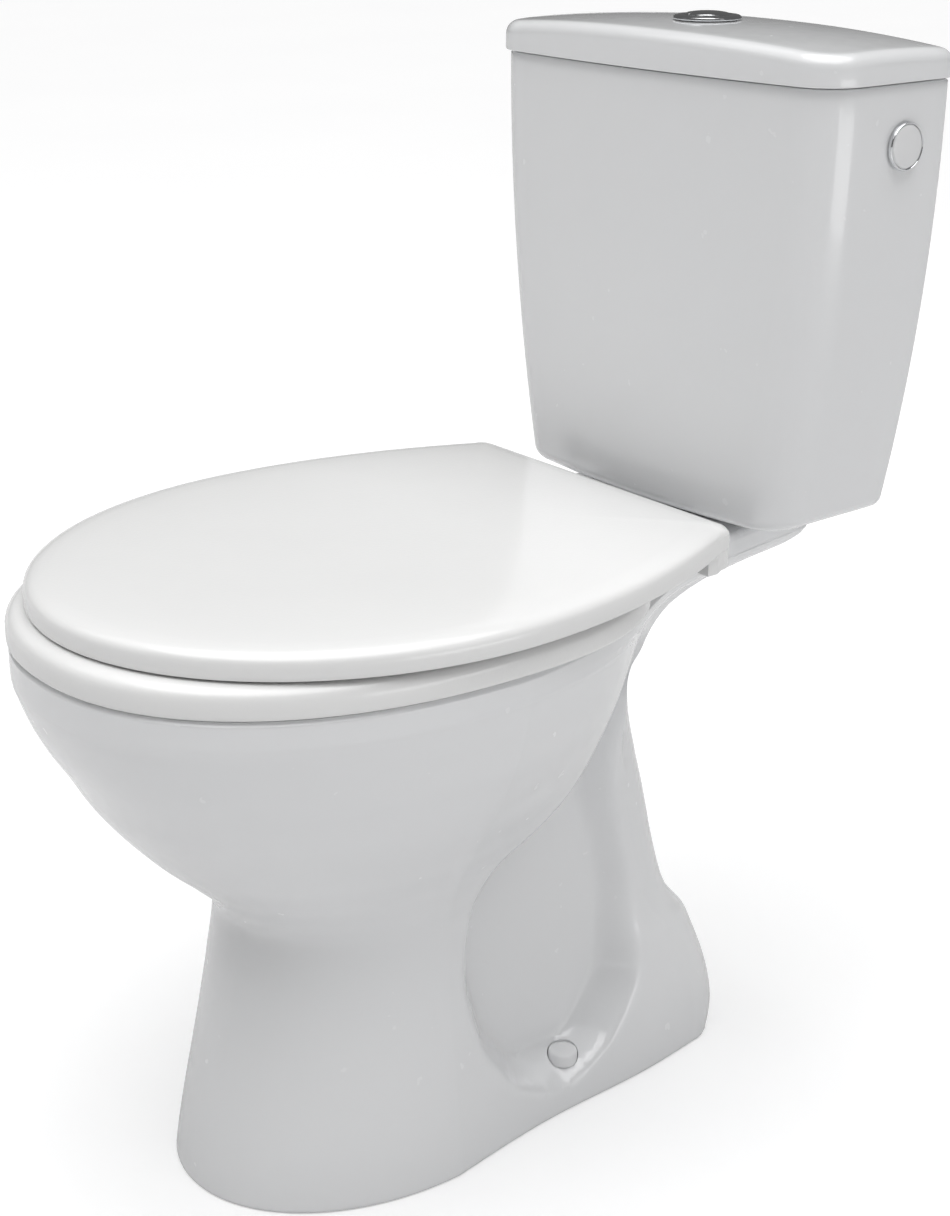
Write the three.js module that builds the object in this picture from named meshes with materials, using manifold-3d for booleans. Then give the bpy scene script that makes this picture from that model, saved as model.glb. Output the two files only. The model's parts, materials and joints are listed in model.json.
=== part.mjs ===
// Close coupled toilet: a vitreous china pan with a floor outlet, a china cistern with a lift-off lid,
// a dual flush valve, a side entry fill valve, and a hinged seat ring and cover.
// Millimetres, +Z up. The parts are drawn with the wall plane at y = 0 and the front at negative y,
// and the whole group is then moved so that its origin is on the floor, in the middle of the box.
import * as THREE from 'three';
import { mergeVertices } from 'three/addons/utils/BufferGeometryUtils.js';
import Module from 'manifold-3d';

const wasm = await Module();
wasm.setup();

// Driving dimensions
const OVERALL_DEPTH = 607;
const RIM_TOP = 398;
const DECK_TOP = 411;
const CISTERN_FLOOR = 419.6;
const CISTERN_TOP = 725;
const LID_TOP = 755;
const CHINA = 12;
const CISTERN_WALL = 9;
const GAP = 0.4;
const WIDEST_Y = -370;
const RING_BOTTOM = 399.8;
const RING_TOP = 420;
const COVER_BOTTOM = 421.4;
const COVER_TOP = 441;
const HINGE = { y: -168, z: 418, postX: 77.5 };
const FLUSH = { y: -68, thread: 30 };
const BUTTON_Y = -64;
const BOLT = { x: 60, y: -92, radius: 3, seat: 388 };
const SIDE_HOLE = { y: -45, z: 685, radius: 8 };
const FLOOR_FIXING = { x: 76, y: -248, z: 28 };
const TRAP_BORE = 37;
const ROCKER = { pivotX: 30, arm: 20, z: 676 };
const FLOAT = { pivotX: -113, pivotZ: 690, x: -72, radius: 21, bottom: 592, top: 648 };
const SPOUT = { x: -138, bottom: 565, top: 673 };

// The pan from the floor up: height, half width, front end, back end, half width at the back, back corner
const PAN_LEVELS = [
  [0, 108.5, -518, -92, 88, 34],
  [22, 107, -514, -88, 88, 34],
  [105, 99, -495, -112, 84, 36],
  [128, 97, -490, -129, 80, 36],
  [142, 96, -487, -135, 78, 36],
  [188, 95, -479, -148, 77, 36],
  [205, 98, -487, -152, 77, 36],
  [225, 105, -506, -157, 77, 36],
  [250, 119, -532, -164, 77, 36],
  [290, 143, -564, -173, 77, 36],
  [315, 156, -578, -175, 78, 36],
  [335, 165, -590, -170, 78, 36],
  [352, 170.5, -598, -154, 78, 36],
  [366, 174, -603, -129, 78, 36],
  [377, 176, -606, -95, 78, 32],
  [382, 177, -606, -61, 78, 30],
  [387, 177, -606, -21, 79, 26],
  [391, 177, -606, -10, 80, 24],
  [395, 177, -606, -8, 81, 22],
  [398, 174.5, -603.5, -11, 78.5, 20],
];
// How far the hollow in each side of the foot reaches, by height: its front edge and its back edge
const HOLLOW_EDGES = [
  [16, -262, -254],
  [30, -296, -232],
  [48, -320, -208],
  [94, -347, -182],
  [146, -357, -182],
  [188, -350, -190],
  [220, -334, -199],
  [242, -302, -206],
  [268, -278, -210],
  [310, -262, -208],
  [345, -236, -196],
  [372, -212, -190],
];
const HOLLOW_FLOOR_X = 62;

// The bowl from the sump up: height, half width, front end, back end
const BOWL_LEVELS = [
  [94, 26, -378, -342],
  [125, 42, -398, -338],
  [165, 56, -430, -338],
  [205, 78, -468, -331],
  [250, 107, -516, -312],
  [300, 136, -554, -264],
  [350, 158, -586, -240],
];

const finishes = {
  china: { color: 0xeff0f0, roughness: 0.08, metalness: 0 },
  seatPlastic: { color: 0xf4f4f3, roughness: 0.16, metalness: 0 },
  chrome: { color: 0xd5d7da, roughness: 0.08, metalness: 1 },
  whitePlastic: { color: 0xe8e9e8, roughness: 0.35, metalness: 0 },
  greyPlastic: { color: 0x9aa0a3, roughness: 0.45, metalness: 0 },
  bluePlastic: { color: 0x5b87a8, roughness: 0.45, metalness: 0 },
  brass: { color: 0xb79a55, roughness: 0.3, metalness: 1 },
  steel: { color: 0xb4b6b8, roughness: 0.3, metalness: 1 },
  rubber: { color: 0x2b2b2c, roughness: 0.8, metalness: 0 },
};

const toilet = new THREE.Group();

function addPiece(name, piece, finish) {
  const geometry = piece.isBufferGeometry ? piece : fromSolid(piece);
  const mesh = new THREE.Mesh(geometry, new THREE.MeshStandardMaterial(finishes[finish]));
  mesh.name = name;
  toilet.add(mesh);
}

function toSolid(geometry) {
  const bare = geometry.clone();
  bare.deleteAttribute('normal');
  bare.deleteAttribute('uv');
  const merged = mergeVertices(bare, 1e-4);
  const mesh = new wasm.Mesh({
    numProp: 3,
    vertProperties: new Float32Array(merged.attributes.position.array),
    triVerts: new Uint32Array(merged.index.array),
  });
  return new wasm.Manifold(mesh);
}

function fromSolid(solid) {
  const { vertProperties, triVerts, numProp } = solid.getMesh();
  const points = new Float32Array((vertProperties.length / numProp) * 3);
  for (let i = 0; i < points.length / 3; i += 1) {
    points.set(vertProperties.subarray(i * numProp, i * numProp + 3), i * 3);
  }
  const geometry = new THREE.BufferGeometry();
  geometry.setAttribute('position', new THREE.BufferAttribute(points, 3));
  geometry.setIndex(new THREE.BufferAttribute(new Uint32Array(triVerts), 1));
  geometry.computeVertexNormals();
  return geometry;
}

function join(first, ...others) {
  return others.reduce((sum, other) => sum.add(other), first);
}

function cut(first, ...others) {
  return others.reduce((rest, other) => rest.subtract(other), first);
}

// A smooth curve through the rows of a table: no row is overshot. column 0 is the height.
function smoothRow(rows, height) {
  const last = rows.length - 1;
  if (height <= rows[0][0]) return rows[0].slice(1);
  if (height >= rows[last][0]) return rows[last].slice(1);
  const at = rows.findIndex((row) => row[0] > height) - 1;
  const slope = (i, c) => (rows[i + 1][c] - rows[i][c]) / (rows[i + 1][0] - rows[i][0]);
  const tangent = (i, c) => {
    if (i === 0 || i === last) return slope(i === 0 ? 0 : last - 1, c);
    const before = slope(i - 1, c);
    const after = slope(i, c);
    return before * after <= 0 ? 0 : (2 * before * after) / (before + after);
  };
  const step = rows[at + 1][0] - rows[at][0];
  const t = (height - rows[at][0]) / step;
  return rows[at].slice(1).map((value, k) => {
    const c = k + 1;
    const rise = rows[at + 1][c] - value;
    const m0 = tangent(at, c) * step;
    const m1 = tangent(at + 1, c) * step;
    return value + t * (m0 + t * (3 * rise - 2 * m0 - m1 + t * (m0 + m1 - 2 * rise)));
  });
}

function smoothStep(t) {
  const s = Math.min(1, Math.max(0, t));
  return s * s * (3 - 2 * s);
}

// A closed body through level outlines that all have the same number of points, listed anticlockwise
// from above, with a flat cap at each end.
function loft(levels) {
  const count = levels[0].outline.length;
  const points = [];
  const index = [];
  levels.forEach(({ z, outline }) => outline.forEach(([x, y]) => points.push(x, y, z)));
  for (let k = 0; k + 1 < levels.length; k += 1) {
    for (let i = 0; i < count; i += 1) {
      const j = (i + 1) % count;
      const a = k * count;
      index.push(a + i, a + j, a + count + j, a + i, a + count + j, a + count + i);
    }
  }
  [0, levels.length - 1].forEach((k) => {
    const { z, outline } = levels[k];
    const middleY = (Math.min(...outline.map((p) => p[1])) + Math.max(...outline.map((p) => p[1]))) / 2;
    const centre = points.length / 3;
    points.push(0, middleY, z);
    for (let i = 0; i < count; i += 1) {
      const j = (i + 1) % count;
      if (k === 0) index.push(centre, k * count + j, k * count + i);
      else index.push(centre, k * count + i, k * count + j);
    }
  });
  const geometry = new THREE.BufferGeometry();
  geometry.setAttribute('position', new THREE.Float32BufferAttribute(points, 3));
  geometry.setIndex(index);
  return toSolid(geometry);
}

// Half an outline, from its front point on the middle line round +X to its back point, made whole
function mirrored(half) {
  const left = half.slice(1, -1).reverse().map(([x, y]) => [-x, y]);
  return [...half, ...left];
}

function frontQuarter(halfWidth, front, widestY, power, steps) {
  const points = [];
  for (let i = 0; i <= steps; i += 1) {
    const t = (i / steps) * (Math.PI / 2);
    const x = halfWidth * Math.sin(t) ** (2 / power);
    const y = widestY - (widestY - front) * Math.max(Math.cos(t), 0) ** (2 / power);
    points.push([x, y]);
  }
  return points;
}

function backCorner(halfWidth, back, radius, steps) {
  const points = [];
  for (let i = 1; i <= steps; i += 1) {
    const t = (i / steps) * (Math.PI / 2);
    points.push([halfWidth - radius * (1 - Math.cos(t)), back - radius * (1 - Math.sin(t))]);
  }
  points.push([0, back]);
  return points;
}

function cylinderAt(radius, length, x, y, z, axis = 'z', segments = 16) {
  const geometry = new THREE.CylinderGeometry(radius, radius, length, segments);
  if (axis === 'z') geometry.rotateX(Math.PI / 2);
  if (axis === 'x') geometry.rotateZ(Math.PI / 2);
  geometry.translate(x, y, z);
  return toSolid(geometry);
}

function upright(radius, bottom, top, x, y, segments = 16) {
  return cylinderAt(radius, top - bottom, x, y, (bottom + top) / 2, 'z', segments);
}

function block(x0, x1, y0, y1, z0, z1) {
  const geometry = new THREE.BoxGeometry(x1 - x0, y1 - y0, z1 - z0);
  geometry.translate((x0 + x1) / 2, (y0 + y1) / 2, (z0 + z1) / 2);
  return toSolid(geometry);
}

// A turned piece: profile is a closed list of [radius, height]. It stands on z, or lies along x.
function turned(profile, x, y, z, axis = 'z', segments = 16) {
  const closed = [...profile, profile[0]].map(([r, h]) => new THREE.Vector2(r, h));
  const geometry = new THREE.LatheGeometry(closed, segments);
  if (axis === 'z') geometry.rotateX(Math.PI / 2);
  if (axis === 'x') geometry.rotateZ(-Math.PI / 2);
  geometry.translate(x, y, z);
  return toSolid(geometry);
}

// A nut: a prism with the given number of sides and a round hole, standing on z
function nut(sides, across, hole, bottom, top, x, y) {
  return cut(upright(across, bottom, top, x, y, sides), upright(hole, bottom - 1, top + 1, x, y, 16));
}

// A tube of round section along points in the middle plane, given as [y, z]
function tubeInMiddle(route, radius, steps, sides) {
  const section = new THREE.Shape();
  section.absarc(0, 0, radius, 0, Math.PI * 2);
  const path = new THREE.CatmullRomCurve3(route.map(([y, z]) => new THREE.Vector3(0, y, z)));
  const options = { steps, extrudePath: path, bevelEnabled: false, curveSegments: sides };
  return toSolid(new THREE.ExtrudeGeometry(section, options));
}

// --- Pan -------------------------------------------------------------------------------------------

// 0 outside the side hollow, 1 on its floor
function hollowShare(y, z) {
  const [front, back] = smoothRow(HOLLOW_EDGES, z);
  const frontEdge = smoothStep((y - front) / 30);
  const backEdge = smoothStep((back - y) / 26);
  const foot = smoothStep((z - 16) / 26);
  const head = 1 - smoothStep((z - 318) / 52);
  return frontEdge * backEdge * foot * head;
}

function panOutline(z, inset = 0) {
  const [halfWidth, front, back, backWidth, corner] = smoothRow(PAN_LEVELS, z);
  const power = 2.05 + 0.15 * smoothStep((z - 180) / 120);
  const half = frontQuarter(halfWidth - inset, front + inset, WIDEST_Y, power, 6);
  const sideEnd = back - corner;
  const flare = 0.15;
  const steps = 10;
  for (let i = 1; i <= steps; i += 1) {
    const y = WIDEST_Y + (sideEnd - WIDEST_Y) * (i / steps);
    const straight = backWidth + flare * (sideEnd - y);
    const straightAtWidest = backWidth + flare * (sideEnd - WIDEST_Y);
    const bulge = (halfWidth - straightAtWidest) * Math.exp(-(((y - WIDEST_Y) / 155) ** 3.6));
    const outside = straight + bulge;
    const share = hollowShare(y, z);
    half.push([outside + (HOLLOW_FLOOR_X - outside) * share - inset, y]);
  }
  half.push(...backCorner(backWidth - inset, back - inset, corner - inset, 3));
  return mirrored(half);
}

function panOutside() {
  const heights = [
    0, 18, 30, 46, 100, 134, 165, 195, 220, 246, 280, 312, 340, 362, 377, 382, 387, 391, 395, RIM_TOP,
  ];
  return loft(heights.map((z) => ({ z, outline: panOutline(z) })));
}

// The raised part of the deck that the cistern stands over. Its front slopes down to the hinges.
function platform() {
  const cornerStart = -30;
  const levels = [
    [395, 0.5, -137], [RIM_TOP, 0, -136], [DECK_TOP - 5, 0, -131], [DECK_TOP - 1.6, 2.5, -128],
    [DECK_TOP, 7, -123],
  ];
  return loft(levels.map(([z, inset, front]) => {
    const edge = (y) => 81 + 0.15 * (cornerStart - y) - inset;
    const half = [[0, front], [edge(front) - 12, front], [edge(front) - 3.5, front + 3.5]];
    half.push([edge(front + 12), front + 12], ...backCorner(81 - inset, -8 - inset, 22 - inset, 3));
    return { z, outline: mirrored(half) };
  }));
}

function panUnderside() {
  const heights = [-1, 30, 46, 100, 134, 195, 246, 300, 344];
  return loft(heights.map((z) => ({ z, outline: panOutline(Math.max(z, 0), CHINA) })));
}

function oval(halfWidth, front, back, count = 24) {
  const middle = (front + back) / 2;
  const points = [];
  for (let i = 0; i < count; i += 1) {
    const t = (i / count) * Math.PI * 2;
    const power = 2 / 2.15;
    const x = halfWidth * Math.sign(Math.sin(t)) * Math.abs(Math.sin(t)) ** power;
    const y = middle - (middle - front) * Math.sign(Math.cos(t)) * Math.abs(Math.cos(t)) ** power;
    points.push([x, y]);
  }
  return points;
}

function ovalWall(halfWidth, front, back, bottom, top) {
  return loft([bottom, top].map((z) => ({ z, outline: oval(halfWidth, front, back) })));
}

function bowl(grow) {
  const heights = [94, 125, 165, 215, 280, 350];
  const levels = heights.map((z) => {
    const [halfWidth, front, back] = smoothRow(BOWL_LEVELS, z);
    const lowered = z === 94 ? z - grow : z;
    return { z: lowered, outline: oval(halfWidth + grow, front - grow, back + grow) };
  });
  return loft(levels);
}

function trapRoute() {
  return [
    [-362, 124], [-330, 120], [-300, 138], [-284, 172], [-280, 205], [-262, 236], [-240, 245],
    [-216, 234], [-203, 203], [-200, 160], [-195, 110], [-186, 60], [-181, 20], [-180, -6],
  ];
}

function pan() {
  const outside = panOutside();
  const shell = cut(outside, panUnderside());
  const trapOutside = tubeInMiddle(trapRoute(), TRAP_BORE + 9, 15, 5);
  const spigot = upright(52, 0, 60, 0, -180, 20);
  const inside = join(bowl(11), trapOutside, spigot).intersect(outside);
  const keel = cylinderAt(36, 225, 0, -137.5, 388, 'y', 16).intersect(block(-60, 60, -300, 0, 300, 397));
  const sides = [-1, 1];
  const bosses = sides.map((s) => upright(16, 0, 44, s * FLOOR_FIXING.x, FLOOR_FIXING.y, 20));
  const solidPan = join(shell, inside, keel, platform(), ...bosses.map((boss) => boss.intersect(outside)));
  const opening = ovalWall(132, -562, -262, 344, 400);
  const lip = ovalWall(141, -571, -253, 340, 400);
  const channel = cut(ovalWall(161, -590, -242, 345, 385), lip);
  const chamber = cylinderAt(27, 222, 0, -147, 388, 'y', 16).intersect(block(-60, 60, -300, 0, 300, 386));
  const cuts = [bowl(0), opening, channel, chamber];
  cuts.push(tubeInMiddle(trapRoute(), TRAP_BORE, 15, 5), upright(43, -1, 40, 0, -180, 20));
  cuts.push(upright(FLUSH.thread + 1, 378, 400, 0, FLUSH.y, 24));
  cuts.push(upright(49, RIM_TOP, DECK_TOP + 1, 0, FLUSH.y, 24));
  sides.forEach((s) => {
    cuts.push(upright(4, 340, DECK_TOP + 1, s * BOLT.x, BOLT.y, 16));
    cuts.push(upright(12, 340, BOLT.seat, s * BOLT.x, BOLT.y, 20));
    cuts.push(upright(7, 376, 400, s * HINGE.postX, HINGE.y, 20));
    cuts.push(upright(5, -1, 60, s * FLOOR_FIXING.x, FLOOR_FIXING.y, 16));
    cuts.push(upright(11.4, FLOOR_FIXING.z, 70, s * FLOOR_FIXING.x, FLOOR_FIXING.y, 24));
  });
  return cut(solidPan, ...cuts);
}

// --- Cistern and lid ---------------------------------------------------------------------------------

const CISTERN = { halfWidth: 166, depth: 127, draft: 29, frontCorner: 32, bow: 7 };

function boxOutline(halfWidth, depth, inset = 0) {
  const front = -depth + inset;
  const side = halfWidth - inset;
  const frontCorner = Math.max(CISTERN.frontCorner - inset, 6);
  const backCornerRadius = Math.max(8 - inset, 3);
  const half = [];
  for (let i = 0; i <= 3; i += 1) {
    const share = i / 3;
    half.push([share * (side - frontCorner), front + CISTERN.bow * share * share]);
  }
  for (let i = 1; i <= 5; i += 1) {
    const t = (i / 5) * (Math.PI / 2);
    const x = side - frontCorner * (1 - Math.sin(t));
    half.push([x, front + CISTERN.bow + frontCorner * (1 - Math.cos(t))]);
  }
  half.push(...backCorner(side, -inset, backCornerRadius, 2));
  return mirrored(half);
}

function cisternOutline(z, inset = 0) {
  const drop = (CISTERN_TOP - z) / (CISTERN_TOP - 441);
  return boxOutline(CISTERN.halfWidth - CISTERN.draft * drop * drop, CISTERN.depth - drop, inset);
}

function cistern() {
  const outsideLevels = [
    [CISTERN_FLOOR, 7], [CISTERN_FLOOR + 2.4, 2.2], [CISTERN_FLOOR + 8, 0], [490, 0], [550, 0],
    [615, 0], [SIDE_HOLE.z, 0], [CISTERN_TOP, 0],
  ];
  const insideLevels = [
    [CISTERN_FLOOR + 10, 18], [440, CISTERN_WALL], [530, CISTERN_WALL], [610, CISTERN_WALL],
    [SIDE_HOLE.z, CISTERN_WALL], [CISTERN_TOP + 1, CISTERN_WALL],
  ];
  const body = loft(outsideLevels.map(([z, inset]) => ({ z, outline: cisternOutline(z, inset) })));
  const space = loft(insideLevels.map(([z, inset]) => ({ z, outline: cisternOutline(z, inset) })));
  const cuts = [space, upright(FLUSH.thread + 1.5, 400, 450, 0, FLUSH.y, 32)];
  [-1, 1].forEach((s) => {
    cuts.push(upright(4, 400, 450, s * BOLT.x, BOLT.y, 16));
    cuts.push(cylinderAt(SIDE_HOLE.radius, 40, s * 162, SIDE_HOLE.y, SIDE_HOLE.z, 'x', 20));
  });
  return cut(body, ...cuts);
}

function lidOutline(inset) {
  return boxOutline(CISTERN.halfWidth + 2.5, CISTERN.depth + 3, inset);
}

function cisternLid() {
  const bottom = CISTERN_TOP + GAP;
  const outside = [[bottom, 0.8], [741, 0], [746, 3], [749.4, 10], [752.6, 30], [LID_TOP, 58]];
  const body = loft(outside.map(([z, inset]) => ({ z, outline: lidOutline(inset) })));
  const lip = loft([716, 740].map((z) => ({ z, outline: lidOutline(13.5) })));
  const hollow = [[715, 18], [738, 18], [745, 30]];
  const space = loft(hollow.map(([z, inset]) => ({ z, outline: lidOutline(inset) })));
  return cut(join(body, lip), space, upright(19.2, 700, 770, 0, BUTTON_Y, 24));
}

// --- Push button -------------------------------------------------------------------------------------

function buttonBezel() {
  const top = LID_TOP + 3.6;
  const profile = [
    [16.2, 727], [18.7, 727], [18.7, LID_TOP + GAP], [24, LID_TOP + GAP], [23.4, LID_TOP + 2.4], [20, top],
    [16.9, top], [16.2, top - 1],
  ];
  return turned(profile, 0, BUTTON_Y, 0, 'z', 24);
}

function bezelNut() {
  return turned([[19, 735], [25, 735], [25, 744.6], [19, 744.6]], 0, BUTTON_Y, 0, 'z', 20);
}

// The round button is split by a straight gap: the smaller piece is the half flush
function flushButton(which) {
  const split = -3;
  const disc = turned(
    [[0, 748], [15.7, 748], [15.7, 758.4], [13, 760.2], [0, 761]], 0, BUTTON_Y, 0, 'z', 24,
  );
  const keep = which === 'full' ? block(split + 0.4, 30, -100, -30, 740, 770)
    : block(-30, split - 0.4, -100, -30, 740, 770);
  return disc.intersect(keep);
}

function pushRod(x) {
  const bottom = ROCKER.z + 5;
  const profile = [[0, bottom], [2.4, bottom], [3, bottom + 3], [3, 747.6], [0, 747.6]];
  return turned(profile, x, BUTTON_Y, 0, 'z', 12);
}

// --- Flush valve ---------------------------------------------------------------------------------------

function flushValveBase() {
  const r = FLUSH.thread;
  const floor = CISTERN_FLOOR + 10;
  return turned(
    [
      [24, 401], [r, 401], [r, floor + GAP], [38, floor + GAP], [38, floor + 4], [26, floor + 4],
      [26, floor + 14], [24, floor + 14],
    ],
    0, FLUSH.y, 0, 'z', 18,
  );
}

function flushValveCage() {
  const bottom = CISTERN_FLOOR + 10 + 4.4;
  const wall = turned([[34, bottom], [38, bottom], [38, 652], [34, 652]], 0, FLUSH.y, 0);
  const windows = [
    block(-18, 18, -120, 0, 456, 540), block(-60, 60, FLUSH.y - 18, FLUSH.y + 18, 456, 540),
    block(-18, 18, -120, 0, 556, 636), block(-60, 60, FLUSH.y - 18, FLUSH.y + 18, 556, 668),
  ];
  const deck = turned([[18, 648], [38, 648], [38, 653], [18, 653]], 0, FLUSH.y, 0);
  const slot = block(-60, 60, FLUSH.y - 7, FLUSH.y + 7, 640, 670);
  const parts = [];
  [-1, 1].forEach((s) => {
    [-1, 1].forEach((side) => {
      const y = BUTTON_Y + side * 6.5;
      parts.push(block(s * ROCKER.pivotX - 4, s * ROCKER.pivotX + 4, y - 1.5, y + 1.5, 650, 681));
    });
    parts.push(cylinderAt(1.8, 15, s * ROCKER.pivotX, BUTTON_Y, ROCKER.z, 'y', 12));
    parts.push(block(s * ROCKER.pivotX - 4, s * ROCKER.pivotX + 4, BUTTON_Y + 5, FLUSH.y + 22, 648, 653));
  });
  return join(cut(wall, ...windows), cut(deck, slot), ...parts);
}

// The overflow pipe carries the seal, and a hook over the outer end of the full flush rocker lifts it
function overflowTube() {
  const pipe = turned([[10.5, 448], [13, 448], [13, 640], [10.5, 640]], 0, FLUSH.y, 0);
  const plate = turned([[10.6, 452.5], [24, 452.5], [24, 456], [10.6, 456]], 0, FLUSH.y, 0);
  const hookX = ROCKER.pivotX + ROCKER.arm;
  const arm = block(11.5, hookX + 8, BUTTON_Y - 4, BUTTON_Y + 2, 630, 635);
  const post = block(hookX + 4, hookX + 8, BUTTON_Y - 4, BUTTON_Y + 2, 631, 686);
  const hook = block(hookX - 4, hookX + 8, BUTTON_Y - 4, BUTTON_Y + 2, 682, 686);
  return join(pipe, plate, arm, post, hook);
}

function valveSeal() {
  return turned([[13.4, 446.4], [30, 446.4], [30, 452], [13.4, 452]], 0, FLUSH.y, 0);
}

function valveFloat() {
  const profile = [[13.4, 570], [27, 570], [27, 612], [23.5, 612], [23.5, 574], [13.4, 574]];
  return turned(profile, 0, FLUSH.y, 0);
}

function rocker(side) {
  const x = side * ROCKER.pivotX;
  const bar = block(x - 26, x + 26, BUTTON_Y - 4, BUTTON_Y + 4, ROCKER.z - 3.5, ROCKER.z + 3.5);
  const inner = side > 0 ? block(-60, 6, -100, -30, 660, 690) : block(-6, 60, -100, -30, 660, 690);
  const outer = side > 0 ? block(x + 22, 90, -100, -30, 660, 690) : block(-90, x - 22, -100, -30, 660, 690);
  return cut(bar, inner, outer, cylinderAt(2.3, 20, x, BUTTON_Y, ROCKER.z, 'y', 12));
}

function backNut() {
  const r = FLUSH.thread;
  const top = CISTERN_FLOOR - GAP;
  return nut(8, 37, r + 0.9, top - 13, top, 0, FLUSH.y);
}

function doughnutSeal() {
  const bottom = RIM_TOP + GAP;
  const top = CISTERN_FLOOR - GAP;
  const profile = [
    [32, bottom], [45, bottom], [47, bottom + 4], [47, top], [39, top], [39, bottom + 7], [32, bottom + 7],
  ];
  return turned(profile, 0, FLUSH.y, 0, 'z', 18);
}

// --- Cistern fixings -----------------------------------------------------------------------------------

function cisternBolt(side) {
  const head = CISTERN_FLOOR + 15;
  const r = BOLT.radius;
  const bottom = BOLT.seat - 11;
  const profile = [[0, bottom], [r, bottom], [r, head], [8.5, head], [8, head + 4.5], [0, head + 5.5]];
  return turned(profile, side * BOLT.x, BOLT.y, 0, 'z', 16);
}

function ringAround(side, inner, outer, bottom, top, segments = 16) {
  const profile = [[inner, bottom], [outer, bottom], [outer, top], [inner, top]];
  return turned(profile, side * BOLT.x, BOLT.y, 0, 'z', segments);
}

// --- Side holes: blanking plug on the right, fill valve on the left ---------------------------------------

function outwards(profile, side, x, segments = 16) {
  const turnedPiece = turned(profile, 0, 0, 0, 'x', segments);
  const placed = side > 0 ? turnedPiece : turnedPiece.mirror([1, 0, 0]);
  return placed.translate([side * x, SIDE_HOLE.y, SIDE_HOLE.z]);
}

function blankingPlug() {
  const profile = [[0, -20], [7.4, -20], [7.4, 1], [14.4, 1], [14.4, 3], [13.4, 3.8], [0, 4.2]];
  return outwards(profile, 1, 166, 20);
}

function blankingRing() {
  return outwards([[14.8, 0.8], [16.4, 0.8], [16.4, 2.6], [15.8, 3.4], [14.8, 3.4]], 1, 166, 20);
}

function sideNut(side, from, to, across, hole) {
  const x = side * (166 + (from + to) / 2);
  const body = cylinderAt(across, to - from, x, SIDE_HOLE.y, SIDE_HOLE.z, 'x', 6);
  return cut(body, cylinderAt(hole, to - from + 2, x, SIDE_HOLE.y, SIDE_HOLE.z, 'x', 16));
}

function blankingWasher() {
  return outwards([[7.8, -13.2], [12.5, -13.2], [12.5, -10.8], [7.8, -10.8]], 1, 166);
}

function fillValveBody() {
  const tail = outwards(
    [[4.5, -17.4], [12, -17.4], [12, -14], [7.2, -14], [7.2, 24], [4.5, 24]], -1, 166, 16,
  );
  const barrel = outwards([[0, -46], [11, -46], [11, -16.4], [0, -16.4]], -1, 166, 16);
  const nose = block(-120.5, -108, SIDE_HOLE.y - 3, SIDE_HOLE.y + 3, SIDE_HOLE.z - 6, SIDE_HOLE.z + 9);
  const pivot = cylinderAt(2, 14, FLOAT.pivotX, SIDE_HOLE.y, FLOAT.pivotZ, 'y', 12);
  const bore = outwards([[0, -40], [4.5, -40], [4.5, -15], [0, -15]], -1, 166, 16);
  const spout = upright(5, SIDE_HOLE.z - 22, SIDE_HOLE.z - 8, SPOUT.x, SIDE_HOLE.y, 12);
  return cut(join(tail, barrel, nose, pivot, spout), bore);
}

function fillValveWasher() {
  return outwards([[8, -13.6], [13, -13.6], [13, -11.2], [8, -11.2]], -1, 166);
}

function fillOutletTube() {
  const { x, bottom, top } = SPOUT;
  return turned([[5.4, bottom], [7, bottom], [7, top], [5.4, top]], x, SIDE_HOLE.y, 0, 'z', 12);
}

function floatArm() {
  const { pivotX, pivotZ, x } = FLOAT;
  const cheeks = [-1, 1].map((s) => {
    const y = SIDE_HOLE.y + s * 5.2;
    const eye = cylinderAt(5, 2.6, pivotX, y, pivotZ, 'y', 14);
    return join(eye, block(pivotX, pivotX + 16, y - 1.3, y + 1.3, pivotZ - 3, pivotZ + 3));
  });
  const bar = block(pivotX + 12, x + 3, SIDE_HOLE.y - 6.5, SIDE_HOLE.y + 6.5, pivotZ - 3, pivotZ + 3);
  const stem = upright(2.6, FLOAT.top + 3, pivotZ, x, SIDE_HOLE.y, 12);
  const disc = upright(9, FLOAT.top + GAP, FLOAT.top + 4, x, SIDE_HOLE.y, 16);
  const eyes = cylinderAt(2.4, 30, pivotX, SIDE_HOLE.y, pivotZ, 'y', 12);
  return cut(join(...cheeks, bar, stem, disc), eyes);
}

function fillFloat() {
  const { radius: r, bottom, top, x } = FLOAT;
  const profile = [
    [0, bottom + 4], [r - 3, bottom + 4], [r - 3, bottom], [r, bottom], [r, top - 4], [r - 5, top], [0, top],
  ];
  return turned(profile, x, SIDE_HOLE.y, 0);
}

// --- Seat ring and cover ---------------------------------------------------------------------------------

function eggOutline(halfWidth, front, back, inset) {
  const half = frontQuarter(halfWidth - inset, front + inset, WIDEST_Y, 2.2, 8);
  const length = back - inset - WIDEST_Y;
  for (let i = 1; i <= 7; i += 1) {
    const t = (i / 7) * (Math.PI / 2);
    const x = (halfWidth - inset) * Math.max(Math.cos(t), 0) ** (2 / 2.5);
    half.push([i === 7 ? 0 : x, WIDEST_Y + length * Math.sin(t) ** (2 / 2.5)]);
  }
  return mirrored(half);
}

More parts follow.
